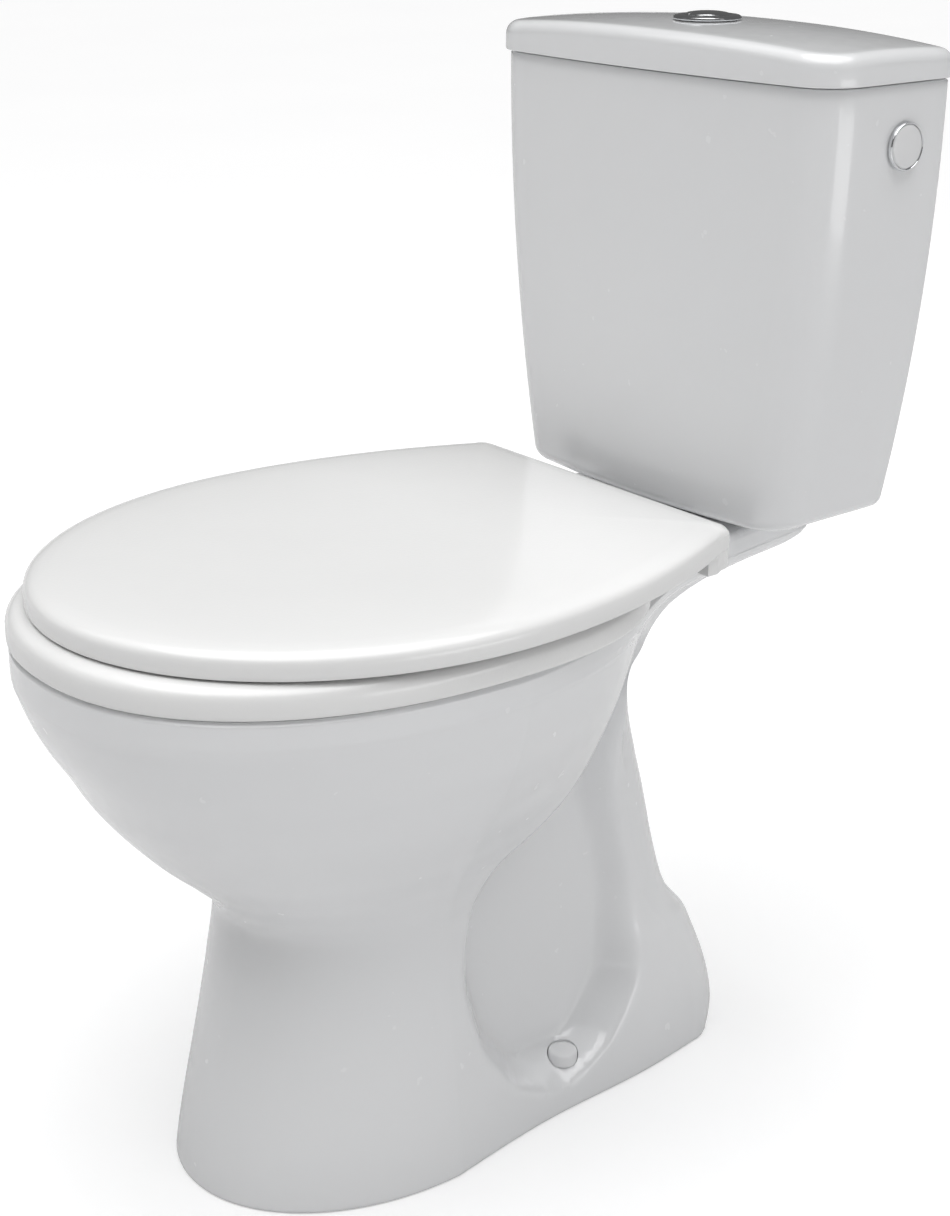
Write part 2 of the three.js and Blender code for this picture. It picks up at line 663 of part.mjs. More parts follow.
function seatRing() {
  const outside = [[RING_BOTTOM, 3], [405, 0.2], [412, 0.2], [417.6, 3], [RING_TOP, 11]];
  const hole = [[RING_BOTTOM - 1, 1], [413, 0], [417.6, -4], [RING_TOP + 1, -14]];
  const body = loft(outside.map(([z, inset]) => ({ z, outline: eggOutline(179, -607, -186, inset) })));
  const middle = loft(hole.map(([z, inset]) => ({ z, outline: eggOutline(108, -553, -262, inset) })));
  const lugs = [-1, 1].map((s) => {
    const x = s * (HINGE.postX - 14.5);
    const arm = block(x - 5.5, x + 5.5, -215, HINGE.y, HINGE.z - 8, RING_TOP - 1.5);
    return join(arm, cylinderAt(8, 11, x, HINGE.y, HINGE.z, 'x'));
  });
  return cut(join(body, ...lugs), middle, hingeBore());
}

function hingeBore() {
  return cylinderAt(3.3, 220, 0, HINGE.y, HINGE.z, 'x', 12);
}

function coverOutline(inset) {
  const halfWidth = 186.5 - inset;
  const back = -151.5 - inset;
  const corner = Math.max(15 - inset, 5);
  const half = frontQuarter(halfWidth, -595 + inset, WIDEST_Y, 2, 8);
  const sideEnd = back - corner;
  for (let i = 1; i <= 5; i += 1) {
    const share = i / 5;
    half.push([halfWidth - 50 * share ** 1.95, WIDEST_Y + (sideEnd - WIDEST_Y) * share]);
  }
  half.push(...backCorner(halfWidth - 50, back, corner, 3));
  return mirrored(half);
}

function seatCover() {
  const outside = [
    [COVER_BOTTOM, 0.6], [432, 0], [436.4, 3.6], [438.8, 11], [440.2, 34], [COVER_TOP, 80],
  ];
  const inside = [[COVER_BOTTOM - 1, 5], [431, 5], [436, 24]];
  const body = loft(outside.map(([z, inset]) => ({ z, outline: coverOutline(inset) })));
  const space = loft(inside.map(([z, inset]) => ({ z, outline: coverOutline(inset) })));
  const parts = [];
  [-1, 1].forEach((s) => {
    const x = s * (HINGE.postX + 14.5);
    const web = block(x - 5.5, x + 5.5, HINGE.y - 8, HINGE.y + 8, HINGE.z, 437);
    parts.push(join(web, cylinderAt(8, 11, x, HINGE.y, HINGE.z, 'x')));
    const cheek = s > 0 ? [114, 129.5] : [-129.5, -114];
    parts.push(block(...cheek, -174, -155, 410, 433));
  });
  return cut(join(cut(body, space), ...parts), hingeBore());
}

function hingePost(side) {
  const x = side * HINGE.postX;
  const top = RIM_TOP + GAP;
  const base = turned([[0, top], [15, top], [14, top + 2], [0, top + 2]], x, HINGE.y, 0);
  const stem = block(x - 7, x + 7, HINGE.y - 6, HINGE.y + 2, top, HINGE.z);
  const eye = cylinderAt(7, 14, x, HINGE.y, HINGE.z, 'x');
  const stud = upright(4, 380, top + 1, x, HINGE.y, 14);
  return cut(join(base, stem, eye, stud), hingeBore());
}

function hingePin(side) {
  const inner = HINGE.postX - 21;
  const outer = HINGE.postX + 21;
  return cylinderAt(2.8, outer - inner, side * HINGE.postX, HINGE.y, HINGE.z, 'x', 12);
}

function hingeSleeve(side) {
  const profile = [[4.4, 378], [6.6, 378], [6.6, 397.6], [4.4, 397.6]];
  return turned(profile, side * HINGE.postX, HINGE.y, 0, 'z', 16);
}

function pad(radius, bottom, top, x, y) {
  return turned([[0, bottom], [radius - 1, bottom], [radius, top], [0, top]], x, y, 0, 'z', 14);
}

// --- Floor fixings ---------------------------------------------------------------------------------------

function floorBush(side) {
  const z = FLOOR_FIXING.z + GAP;
  const profile = [[3.4, 16], [4.6, 16], [4.6, z], [9.4, z], [9.4, z + 2], [3.4, z + 2]];
  return turned(profile, side * FLOOR_FIXING.x, FLOOR_FIXING.y, 0, 'z', 16);
}

function floorScrew(side) {
  const z = FLOOR_FIXING.z + 2.8;
  const profile = [[0, 0.6], [3, 0.6], [3, z], [6, z], [5.6, z + 3.4], [0, z + 3.4]];
  return turned(profile, side * FLOOR_FIXING.x, FLOOR_FIXING.y, 0, 'z', 14);
}

function floorCap(side) {
  const z = FLOOR_FIXING.z + GAP;
  const profile = [
    [9.8, z], [11, z], [10.6, z + 8], [9.2, z + 9.4], [0, z + 10], [0, z + 8], [8.8, z + 7.4], [9.8, z + 6],
  ];
  return turned(profile, side * FLOOR_FIXING.x, FLOOR_FIXING.y, 0, 'z', 18);
}

// --- Assembly ----------------------------------------------------------------------------------------------

addPiece('pan', pan(), 'china');
addPiece('cistern', cistern(), 'china');
addPiece('cistern_lid', cisternLid(), 'china');
addPiece('button_bezel', buttonBezel(), 'chrome');
addPiece('bezel_nut', bezelNut(), 'whitePlastic');
addPiece('flush_button_full', flushButton('full'), 'chrome');
addPiece('flush_button_half', flushButton('half'), 'chrome');
addPiece('push_rod_full', pushRod(10), 'whitePlastic');
addPiece('push_rod_half', pushRod(-10), 'whitePlastic');
addPiece('flush_valve_base', flushValveBase(), 'whitePlastic');
addPiece('flush_valve_cage', flushValveCage(), 'whitePlastic');
addPiece('overflow_tube', overflowTube(), 'bluePlastic');
addPiece('valve_seal', valveSeal(), 'rubber');
addPiece('valve_float', valveFloat(), 'bluePlastic');
addPiece('rocker_full', rocker(1), 'bluePlastic');
addPiece('rocker_half', rocker(-1), 'bluePlastic');
addPiece('valve_back_nut', backNut(), 'whitePlastic');
addPiece('doughnut_seal', doughnutSeal(), 'rubber');
addPiece('blanking_plug', blankingPlug(), 'whitePlastic');
addPiece('blanking_plug_ring', blankingRing(), 'chrome');
addPiece('blanking_plug_nut', sideNut(1, -18.6, -13.6, 13, 8), 'whitePlastic');
addPiece('blanking_plug_washer', blankingWasher(), 'rubber');
addPiece('fill_valve_body', fillValveBody(), 'whitePlastic');
addPiece('fill_valve_washer', fillValveWasher(), 'rubber');
addPiece('fill_valve_locknut', sideNut(-1, 0.6, 7.6, 13.5, 7.8), 'brass');
addPiece('fill_outlet_tube', fillOutletTube(), 'greyPlastic');
addPiece('float_arm', floatArm(), 'whitePlastic');
addPiece('fill_float', fillFloat(), 'bluePlastic');
addPiece('seat_ring', seatRing(), 'seatPlastic');
addPiece('seat_cover', seatCover(), 'seatPlastic');
[['left', -1], ['right', 1]].forEach(([name, side]) => {
  const top = CISTERN_FLOOR + 10;
  addPiece(`cistern_bolt_${name}`, cisternBolt(side), 'steel');
  addPiece(`bolt_rubber_washer_${name}`, ringAround(side, 3.4, 12, top + GAP, top + 4.6), 'rubber');
  addPiece(`bolt_washer_${name}`, ringAround(side, 3.4, 10, BOLT.seat - 2, BOLT.seat - 0.4), 'steel');
  const boltNut = nut(6, 8, 3.6, BOLT.seat - 9, BOLT.seat - 2.4, side * BOLT.x, BOLT.y);
  addPiece(`bolt_nut_${name}`, boltNut, 'whitePlastic');
  addPiece(`hinge_post_${name}`, hingePost(side), 'seatPlastic');
  addPiece(`hinge_pin_${name}`, hingePin(side), 'steel');
  addPiece(`hinge_sleeve_${name}`, hingeSleeve(side), 'rubber');
  const ringPad = (x, y) => pad(7, RIM_TOP + GAP, RING_BOTTOM - 0.3, side * x, y);
  addPiece(`seat_buffer_front_${name}`, ringPad(124, -481), 'whitePlastic');
  addPiece(`seat_buffer_back_${name}`, ringPad(138, -315), 'whitePlastic');
  addPiece(`cover_buffer_${name}`, pad(6, RING_TOP + GAP, 434, side * 128, -455), 'whitePlastic');
  addPiece(`floor_bush_${name}`, floorBush(side), 'whitePlastic');
  addPiece(`floor_screw_${name}`, floorScrew(side), 'steel');
  addPiece(`floor_cap_${name}`, floorCap(side), 'whitePlastic');
});

toilet.position.y = OVERALL_DEPTH / 2;

export default toilet;
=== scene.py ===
import json
import math

import bmesh
import bpy
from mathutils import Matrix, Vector


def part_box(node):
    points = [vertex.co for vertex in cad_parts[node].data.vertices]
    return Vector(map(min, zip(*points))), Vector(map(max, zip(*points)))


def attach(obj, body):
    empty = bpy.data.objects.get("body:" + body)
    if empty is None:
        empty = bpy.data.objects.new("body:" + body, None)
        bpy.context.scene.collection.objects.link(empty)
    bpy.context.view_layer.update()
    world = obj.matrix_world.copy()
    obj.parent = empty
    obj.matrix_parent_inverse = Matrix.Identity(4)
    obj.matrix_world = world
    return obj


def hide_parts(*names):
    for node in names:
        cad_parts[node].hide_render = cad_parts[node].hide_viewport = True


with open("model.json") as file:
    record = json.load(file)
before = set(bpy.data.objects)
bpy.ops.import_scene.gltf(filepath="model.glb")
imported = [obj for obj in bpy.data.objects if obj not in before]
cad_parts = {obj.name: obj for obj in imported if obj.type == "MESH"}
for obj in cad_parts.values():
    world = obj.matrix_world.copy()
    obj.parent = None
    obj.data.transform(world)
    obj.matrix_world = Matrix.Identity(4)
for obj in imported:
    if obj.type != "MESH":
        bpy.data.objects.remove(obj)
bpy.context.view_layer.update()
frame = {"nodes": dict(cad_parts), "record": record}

# --- The studio -------------------------------------------------------------------------------------
# A pale seamless floor under a soft overhead light, with two tall soft boxes whose reflections run
# down the glaze. The camera looks down a little, past the toilet's front right corner.

CAMERA_PLACE = (1.05795, -0.81791, 0.88533)
CAMERA_TURN = 51.491
CAMERA_DOWN = 19.890
camera_data = bpy.data.cameras.new("studio_camera")
camera_data.sensor_width = 36
camera_data.lens = 61.42
camera_data.shift_x = 0.00862
camera_data.shift_y = -0.0308
camera = bpy.data.objects.new("studio_camera", camera_data)
camera.location = CAMERA_PLACE
camera.rotation_euler = (math.radians(90 - CAMERA_DOWN), 0, math.radians(CAMERA_TURN))
bpy.context.collection.objects.link(camera)
bpy.context.scene.camera = camera
bpy.context.scene.view_settings.view_transform = "Standard"


def deselect_all():
    if bpy.context.object and bpy.context.object.mode != "OBJECT":
        bpy.ops.object.mode_set(mode="OBJECT")
    bpy.ops.object.select_all(action="DESELECT")


def hold(piece):
    deselect_all()
    piece.select_set(True)
    bpy.context.view_layer.objects.active = piece


def soft_box(name, place, aim, width, height, power):
    lamp = bpy.data.lights.new(name, "AREA")
    lamp.shape = "RECTANGLE"
    lamp.size = width
    lamp.size_y = height
    lamp.energy = power
    box = bpy.data.objects.new(name, lamp)
    box.location = place
    box.rotation_euler = (Vector(aim) - Vector(place)).to_track_quat("-Z", "Y").to_euler()
    bpy.context.collection.objects.link(box)


soft_box("overhead_box", (-0.3, -0.6, 3.0), (0, 0, 0.3), 3.4, 3.4, 30)
soft_box("left_box", (-2.2, -2.4, 1.5), (0, 0, 0.4), 0.9, 1.8, 0.3)
soft_box("right_box", (2.6, 0.6, 1.3), (0, 0, 0.5), 0.7, 1.6, 0.8)
soft_box("low_box", (2.1, 0.4, 0.22), (0, 0, 0.12), 1.4, 0.4, 3.6)
sky_lamp = bpy.data.lights.new("ceiling", "SUN")
sky_lamp.energy = 2.3
sky_lamp.angle = math.radians(70)
ceiling = bpy.data.objects.new("ceiling", sky_lamp)
ceiling.rotation_euler = (math.radians(4), math.radians(7), 0)
bpy.context.collection.objects.link(ceiling)


class Wire:
    """One socket of a material. Arithmetic on it adds Math nodes; node() adds any other node."""

    def __init__(self, tree, socket=None):
        self.tree = tree
        self.socket = socket

    def node(self, kind, settings, values, output=0):
        made = self.tree.nodes.new(kind)
        stops = settings.pop("stops", None)
        for name, value in settings.items():
            setattr(made, name, value)
        if stops:
            for element, (place, colour) in zip(made.color_ramp.elements, stops):
                element.position = place
                element.color = colour
        for name, value in values.items():
            if isinstance(value, Wire):
                self.tree.links.new(value.socket, made.inputs[name])
            else:
                made.inputs[name].default_value = value
        return Wire(self.tree, made.outputs[output])

    def sum(self, operation, first, second):
        return self.node("ShaderNodeMath", {"operation": operation}, {0: first, 1: second})

    def __add__(self, other):
        return self.sum("ADD", self, other)

    __radd__ = __add__

    def __mul__(self, other):
        return self.sum("MULTIPLY", self, other)

    __rmul__ = __mul__


# The surround is white to the camera and dim to the object, so the boxes do the lighting
surround = bpy.data.worlds.new("studio_surround")
surround.use_nodes = True
backdrop = surround.node_tree.nodes["Background"]
backdrop.inputs["Color"].default_value = (1, 1, 1, 1)
seen_share = 0.88 * Wire(surround.node_tree).node("ShaderNodeLightPath", {}, {}, "Is Camera Ray")
surround.node_tree.links.new((seen_share + 0.12).socket, backdrop.inputs["Strength"])
bpy.context.scene.world = surround


def finish(name, fixed, recipe):
    """A material: fixed values go straight on the shader, and recipe returns the ones that vary."""
    material = bpy.data.materials.new(name)
    material.use_nodes = True
    tree = material.node_tree
    shader = tree.nodes["Principled BSDF"]
    for socket, value in fixed.items():
        shader.inputs[socket].default_value = value
    place = Wire(tree).node("ShaderNodeTexCoord", {}, {}, "Object")
    for socket, wire in recipe(place).items():
        tree.links.new(wire.socket, shader.inputs[socket])
    return material


def cloud(place, size, detail=2.0, offset=(0, 0, 0)):
    """Soft noise whose blotches are about the given size in metres."""
    moved = place.node("ShaderNodeMapping", {}, {"Vector": place, "Location": offset})
    return place.node("ShaderNodeTexNoise", {}, {"Vector": moved, "Scale": 1 / size, "Detail": detail})


def blend(place, mask, first, second):
    settings = {"data_type": "RGBA"}
    values = {"Factor": mask, 6: (*first, 1), 7: (*second, 1)}
    return place.node("ShaderNodeMix", settings, values, 2)


def relief(place, height, depth, strength=1.0):
    return place.node("ShaderNodeBump", {}, {"Height": height, "Distance": depth, "Strength": strength})


def floor_recipe(place):
    """Paler to the camera than to the object, so that the sweep is white and throws little light up."""
    seen = place.node("ShaderNodeLightPath", {}, {}, "Is Camera Ray")
    return {
        "Base Color": blend(place, cloud(place, 0.6), (0.72, 0.72, 0.725), (0.75, 0.75, 0.75)),
        "Emission Strength": 0.36 * seen,
    }


FLOOR_FINISH = {"Roughness": 0.9, "Emission Color": (1, 1, 1, 1)}
deselect_all()
bpy.ops.mesh.primitive_plane_add(size=60, location=(0, 0, -0.0005))
studio_floor = bpy.context.object
studio_floor.name = "studio_floor"
studio_floor.data.materials.append(finish("pale_floor", FLOOR_FINISH, floor_recipe))

# --- The pan ----------------------------------------------------------------------------------------
# One casting of vitreous china: a bowl on a waisted foot, hollow at each side round the waste, with a
# thin deck at the back that the cistern stands on. It is slip cast, glazed all over and fired.

MM = 0.001
WALL_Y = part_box("cistern")[1].y
RIM_TOP = 398
DECK_TOP = 411
WIDEST_Y = -370
HOLLOW_FLOOR_X = 62
HINGE = {"x": 77.5, "y": -168, "z": 418}
LUG = {"from_post": 14.5, "half_width": 5.5, "eye": 8}
PIN_BORE = 3.3
BOLT = {"x": 60, "y": -92}
FLUSH_Y = -68
FLOOR_FIXING = {"x": 76, "y": -248, "z": 28}
TRAP_BORE = 37
GLAZED_WALL = 12

# From the floor up: height, half width, front end, back end, half width at the back, back corner
PAN_LEVELS = (
    (0, 108.5, -518, -92, 88, 34),
    (22, 107, -514, -88, 88, 34),
    (105, 99, -495, -112, 84, 36),
    (128, 97, -490, -129, 80, 36),
    (142, 96, -487, -135, 78, 36),
    (188, 95, -479, -148, 77, 36),
    (205, 98, -487, -152, 77, 36),
    (225, 105, -506, -157, 77, 36),
    (250, 119, -532, -164, 77, 36),
    (290, 143, -564, -173, 77, 36),
    (315, 156, -578, -175, 78, 36),
    (335, 165, -590, -170, 78, 36),
    (352, 170.5, -598, -154, 78, 36),
    (366, 174, -603, -129, 78, 36),
    (377, 176, -606, -95, 78, 32),
    (382, 177, -606, -61, 78, 30),
    (387, 177, -606, -21, 79, 26),
    (391, 177, -606, -10, 80, 24),
    (395, 177, -606, -8, 81, 22),
    (398, 174.5, -603.5, -11, 78.5, 20),
)
# The hollow in each side of the foot: height, front edge, back edge
HOLLOW_EDGES = (
    (16, -262, -254),
    (30, -296, -232),
    (48, -320, -208),
    (94, -347, -182),
    (146, -357, -182),
    (188, -350, -190),
    (220, -334, -199),
    (242, -302, -206),
    (268, -278, -210),
    (310, -262, -208),
    (345, -236, -196),
    (372, -212, -190),
)
# The bowl from the sump up: height, half width, front end, back end
BOWL_LEVELS = (
    (94, 26, -378, -342),
    (125, 42, -398, -338),
    (165, 56, -430, -338),
    (205, 78, -468, -331),
    (250, 107, -516, -312),
    (300, 136, -554, -264),
    (350, 158, -586, -240),
)
# The waterway from the bowl over the weir and down to the floor: (y, z) along its middle
TRAP_ROUTE = (
    (-362, 124), (-330, 120), (-300, 138), (-284, 172), (-280, 205), (-262, 236), (-240, 245),
    (-216, 234), (-203, 203), (-200, 160), (-195, 110), (-186, 60), (-181, 20), (-180, -6),
)


def smooth_row(rows, height):
    """The row at a height, on a smooth curve through a table that overshoots no row."""
    last = len(rows) - 1
    if height <= rows[0][0]:
        return rows[0][1:]
    if height >= rows[last][0]:
        return rows[last][1:]
    at = next(i for i, row in enumerate(rows) if row[0] > height) - 1

    def slope(i, c):
        return (rows[i + 1][c] - rows[i][c]) / (rows[i + 1][0] - rows[i][0])

    def tangent(i, c):
        if i in (0, last):
            return slope(0 if i == 0 else last - 1, c)
        before, after = slope(i - 1, c), slope(i, c)
        return 0 if before * after <= 0 else 2 * before * after / (before + after)

    step = rows[at + 1][0] - rows[at][0]
    t = (height - rows[at][0]) / step
    row = []
    for c in range(1, len(rows[0])):
        value = rows[at][c]
        rise = rows[at + 1][c] - value
        m0, m1 = tangent(at, c) * step, tangent(at + 1, c) * step
        row.append(value + t * (m0 + t * (3 * rise - 2 * m0 - m1 + t * (m0 + m1 - 2 * rise))))
    return row


def smooth_step(t):
    s = min(1.0, max(0.0, t))
    return s * s * (3 - 2 * s)


def mirrored(half):
    """Half an outline, from the front round +X to the back, made whole."""
    return half + [(-x, y) for x, y in reversed(half[1:-1])]


def front_quarter(half_width, front, power, steps):
    points = []
    for i in range(steps + 1):
        t = i / steps * math.pi / 2
        x = half_width * math.sin(t) ** (2 / power)
        points.append((x, WIDEST_Y - (WIDEST_Y - front) * max(math.cos(t), 0) ** (2 / power)))
    return points


def back_corner(half_width, back, radius, steps, across):
    points = []
    for i in range(1, steps + 1):
        t = i / steps * math.pi / 2
        points.append((half_width - radius * (1 - math.cos(t)), back - radius * (1 - math.sin(t))))
    edge = half_width - radius
    points += [(edge * (1 - i / across), back) for i in range(1, across + 1)]
    return points


def spaced(low, high, step):
    count = max(1, round((high - low) / step))
    return [low + (high - low) * i / count for i in range(count + 1)]


def skin(name, rings, loop=False):
    """A closed mesh through rings of points, in millimetres from the wall and the floor."""
    count = len(rings[0])
    mesh = bpy.data.meshes.new(name)
    made = bmesh.new()
    rows = [[made.verts.new((x * MM, WALL_Y + y * MM, z * MM)) for x, y, z in ring] for ring in rings]
    for first, second in zip(rows, rows[1:] + rows[:1] if loop else rows[1:]):
        for i in range(count):
            j = (i + 1) % count
            made.faces.new((first[i], first[j], second[j], second[i]))
    if not loop:
        for row in (rows[0], rows[-1]):
            middle = made.verts.new(sum((v.co for v in row), Vector()) / count)
            for i in range(count):
                made.faces.new((row[i], row[(i + 1) % count], middle))
    bmesh.ops.recalc_face_normals(made, faces=made.faces)
    made.to_mesh(mesh)
    made.free()
    piece = bpy.data.objects.new(name, mesh)
    bpy.context.collection.objects.link(piece)
    return piece


def combine(piece, tool, operation):
    """Cuts the tool out of the piece, or joins it on, and the tool is gone afterwards."""
    hold(piece)
    change = piece.modifiers.new("combine", "BOOLEAN")
    change.operation = operation
    change.solver = "MANIFOLD"
    change.object = tool
    bpy.ops.object.modifier_apply(modifier=change.name)
    bpy.data.objects.remove(tool)


def together(name, *tools):
    """Several separate tools as one object."""
    hold(tools[0])
    for tool in tools:
        tool.select_set(True)
    bpy.ops.object.join()
    tools[0].name = name
    return tools[0]


def turned(name, profile, centre, axis="Z", steps=64, closed=False, soft=0.0):
    """A turned piece, spun from (radius, height) points; closed ones have a hole, others meet the axis."""
    deselect_all()
    x, y, z = centre
    bpy.ops.mesh.primitive_circle_add(vertices=len(profile), location=(0, 0, 0))
    piece = bpy.context.object
    piece.name = name
    bpy.ops.object.mode_set(mode="EDIT")
    shape = bmesh.from_edit_mesh(piece.data)
    shape.verts.ensure_lookup_table()
    for vertex, (radius, height) in zip(shape.verts, profile):
        along = (x + radius, y, z + height) if axis == "Z" else (x + height, y, z + radius)
        vertex.co = (along[0] * MM, WALL_Y + along[1] * MM, along[2] * MM)
    if not closed:
        ends = {shape.verts[0], shape.verts[len(profile) - 1]}
        shape.edges.remove(next(edge for edge in shape.edges if set(edge.verts) == ends))
    bmesh.update_edit_mesh(piece.data)
    bpy.ops.mesh.select_all(action="SELECT")
    pivot = (x * MM, WALL_Y + y * MM, z * MM)
    turn = (0, 0, 1) if axis == "Z" else (1, 0, 0)
    bpy.ops.mesh.spin(steps=steps, angle=2 * math.pi, center=pivot, axis=turn)
    bpy.ops.mesh.select_all(action="SELECT")
    bpy.ops.mesh.remove_doubles(threshold=1e-6)
    bpy.ops.mesh.normals_make_consistent(inside=False)
    bpy.ops.object.mode_set(mode="OBJECT")
    if soft:
        round_edges(piece, soft)
    return piece


def round_edges(piece, radius, segments=3, angle=40):
    hold(piece)
    bevel = piece.modifiers.new("rounded", "BEVEL")
    bevel.width = radius * MM
    bevel.segments = segments
    bevel.limit_method = "ANGLE"
    bevel.angle_limit = math.radians(angle)
    bpy.ops.object.modifier_apply(modifier=bevel.name)


def rod(name, radius, bottom, top, x, y, steps=48):
    return turned(name, [(0, bottom), (radius, bottom), (radius, top), (0, top)], (x, y, 0), steps=steps)


def block(name, x0, x1, y0, y1, z0, z1, soft=0.0):
    deselect_all()
    middle = ((x0 + x1) / 2 * MM, WALL_Y + (y0 + y1) / 2 * MM, (z0 + z1) / 2 * MM)
    bpy.ops.mesh.primitive_cube_add(size=1, location=middle)
    piece = bpy.context.object
    piece.name = name
    piece.scale = ((x1 - x0) * MM, (y1 - y0) * MM, (z1 - z0) * MM)
    bpy.ops.object.transform_apply(location=True, rotation=True, scale=True)
    if soft:
        round_edges(piece, soft)
    return piece


def settle(piece, body, material, slot, *nodes, angle=32):
    """The finished piece gets its shading, its material and its place in the assembly."""
    hold(piece)
    bpy.ops.object.shade_smooth_by_angle(angle=math.radians(angle))
    piece.data.materials.clear()
    piece.data.materials.append(material)
    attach(piece, body)
    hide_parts(*nodes)


def hollow_share(y, z):
    """0 outside the side hollow, 1 on its floor."""
    front, back = smooth_row(HOLLOW_EDGES, z)
    edges = smooth_step((y - front) / 30) * smooth_step((back - y) / 26)
    return edges * smooth_step((z - 16) / 26) * (1 - smooth_step((z - 318) / 52))


def pan_outline(z, inset=0.0, fine=1):
    half_width, front, back, back_width, corner = smooth_row(PAN_LEVELS, z)
    power = 2.05 + 0.15 * smooth_step((z - 180) / 120)
    half = front_quarter(half_width - inset, front + inset, power, 28 * fine)
    side_end = back - corner
    flare = 0.15
    at_widest = back_width + flare * (side_end - WIDEST_Y)
    steps = 60 * fine
    for i in range(1, steps + 1):
        y = WIDEST_Y + (side_end - WIDEST_Y) * i / steps
        straight = back_width + flare * (side_end - y)
        outside = straight + (half_width - at_widest) * math.exp(-(((y - WIDEST_Y) / 155) ** 3.6))
        sunk = (HOLLOW_FLOOR_X - outside) * hollow_share(y, z)
        half.append((outside + sunk - inset, y))
    half += back_corner(back_width - inset, back - inset, corner - inset, 8, 6)
    return mirrored(half)


def oval(half_width, front, back, count=120):
    middle = (front + back) / 2
    points = []
    for i in range(count):
        s, c = math.sin(i / count * 2 * math.pi), math.cos(i / count * 2 * math.pi)
        x = half_width * math.copysign(abs(s) ** (2 / 2.15), s)
        points.append((x, middle - (middle - front) * math.copysign(abs(c) ** (2 / 2.15), c)))
    return points


def at_height(outline, z):
    return [(x, y, z) for x, y in outline]


def bowl_oval(z, grow=0.0):
    half_width, front, back = smooth_row(BOWL_LEVELS, z)
    return oval(half_width + grow, front - grow, back + grow)


def waterway(name, radius):
    """A tube through the trap's route, which lies in the middle plane."""
    points = [Vector((y, z)) for y, z in TRAP_ROUTE]
    route = []
    for i in range(len(points) - 1):
        a, b = points[max(i - 1, 0)], points[i]
        c, d = points[i + 1], points[min(i + 2, len(points) - 1)]
        for k in range(4):
            t = k / 4
            route.append(0.5 * (2 * b + (c - a) * t + (2 * a - 5 * b + 4 * c - d) * t ** 2
                                + (3 * b - a - 3 * c + d) * t ** 3))
    route.append(points[-1])
    rings = []
    for i, middle in enumerate(route):
        ahead = (route[min(i + 1, len(route) - 1)] - route[max(i - 1, 0)]).normalized()
        across = Vector((-ahead.y, ahead.x))
        ring = []
        for k in range(32):
            angle = k / 32 * 2 * math.pi
            out = middle + across * radius * math.sin(angle)
            ring.append((radius * math.cos(angle), out.x, out.y))
        rings.append(ring)
    return skin(name, rings)


def glaze_recipe(place):
    pooled = cloud(place, 0.21, 1.0)
    fine = cloud(place, 0.012, 2.0, (0.3, 0.1, 0.7))
    ripple = cloud(place, 0.055, 1.0, (0.9, 0.4, 0.2))
    return {
        "Base Color": blend(place, pooled, (0.845, 0.852, 0.864), (0.872, 0.877, 0.884)),
        "Roughness": 0.2 + 0.1 * fine,
        "Normal": relief(place, ripple + 0.05 * fine, 0.0011, 0.5),
    }


glaze = finish("white_glazed_china", {"IOR": 1.5, "Coat Weight": 0.85, "Coat Roughness": 0.045}, glaze_recipe)

FOOT_ROUND = 2.0
foot_levels = [(0, FOOT_ROUND), (0.25, 1.1), (0.8, 0.4), (FOOT_ROUND, 0)]
pan_levels = foot_levels + [(z, 0) for z in spaced(4, 372, 4)[:-1]] + [(z, 0) for z in spaced(372, 396, 0.6)]
pan_levels += [(397.2, 0), (RIM_TOP, 0), (RIM_TOP, 1.2)]
pan = skin("pan_china", [at_height(pan_outline(z, inset), z) for z, inset in pan_levels])
underside = skin("underside", [
    at_height(pan_outline(max(z, 0), GLAZED_WALL), z) for z in [-1] + spaced(8, 344, 12)
])
bowl_back = [at_height(bowl_oval(94, 8), 83), at_height(bowl_oval(94, 11), 88)]
bowl_back += [at_height(bowl_oval(z, 11), z) for z in spaced(100, 350, 10)]
keep_bowl = skin("keep_bowl", bowl_back)
keep_trap = waterway("keep_trap", TRAP_BORE + 9)
keep_rest = [rod("keep_spigot", 52, -5, 60, 0, -180)]
for side in (-1, 1):
    keep_rest.append(rod("keep_boss", 16, -5, 44, side * FLOOR_FIXING["x"], FLOOR_FIXING["y"]))
combine(underside, keep_bowl, "DIFFERENCE")
combine(underside, keep_trap, "DIFFERENCE")
combine(underside, together("keep_rest", *keep_rest), "DIFFERENCE")
combine(pan, underside, "DIFFERENCE")


def channel(name, radius, top, ends):
    """A half round bar under the deck, along the middle, through (y, inset) pairs."""
    rings = []
    for y, inset in ends:
        ring = []
        for k in range(48):
            angle = k / 48 * 2 * math.pi
            across = (radius - inset) * math.cos(angle)
            ring.append((across, y, min(top, 388 + (radius - inset) * math.sin(angle))))
        rings.append(ring)
    return skin(name, rings)


def platform_outline(inset, front):
    edge = 81 + 0.15 * (-30 - front - 12) - inset
    half = [((edge - 12) * i / 6, front) for i in range(7)]
    for k in range(1, 9):
        t = k / 8 * math.pi / 2
        half.append((edge - 12 + 12 * math.sin(t), front + 12 - 12 * math.cos(t)))
    half += back_corner(81 - inset, -8 - inset, 22 - inset, 8, 6)
    return mirrored(half)


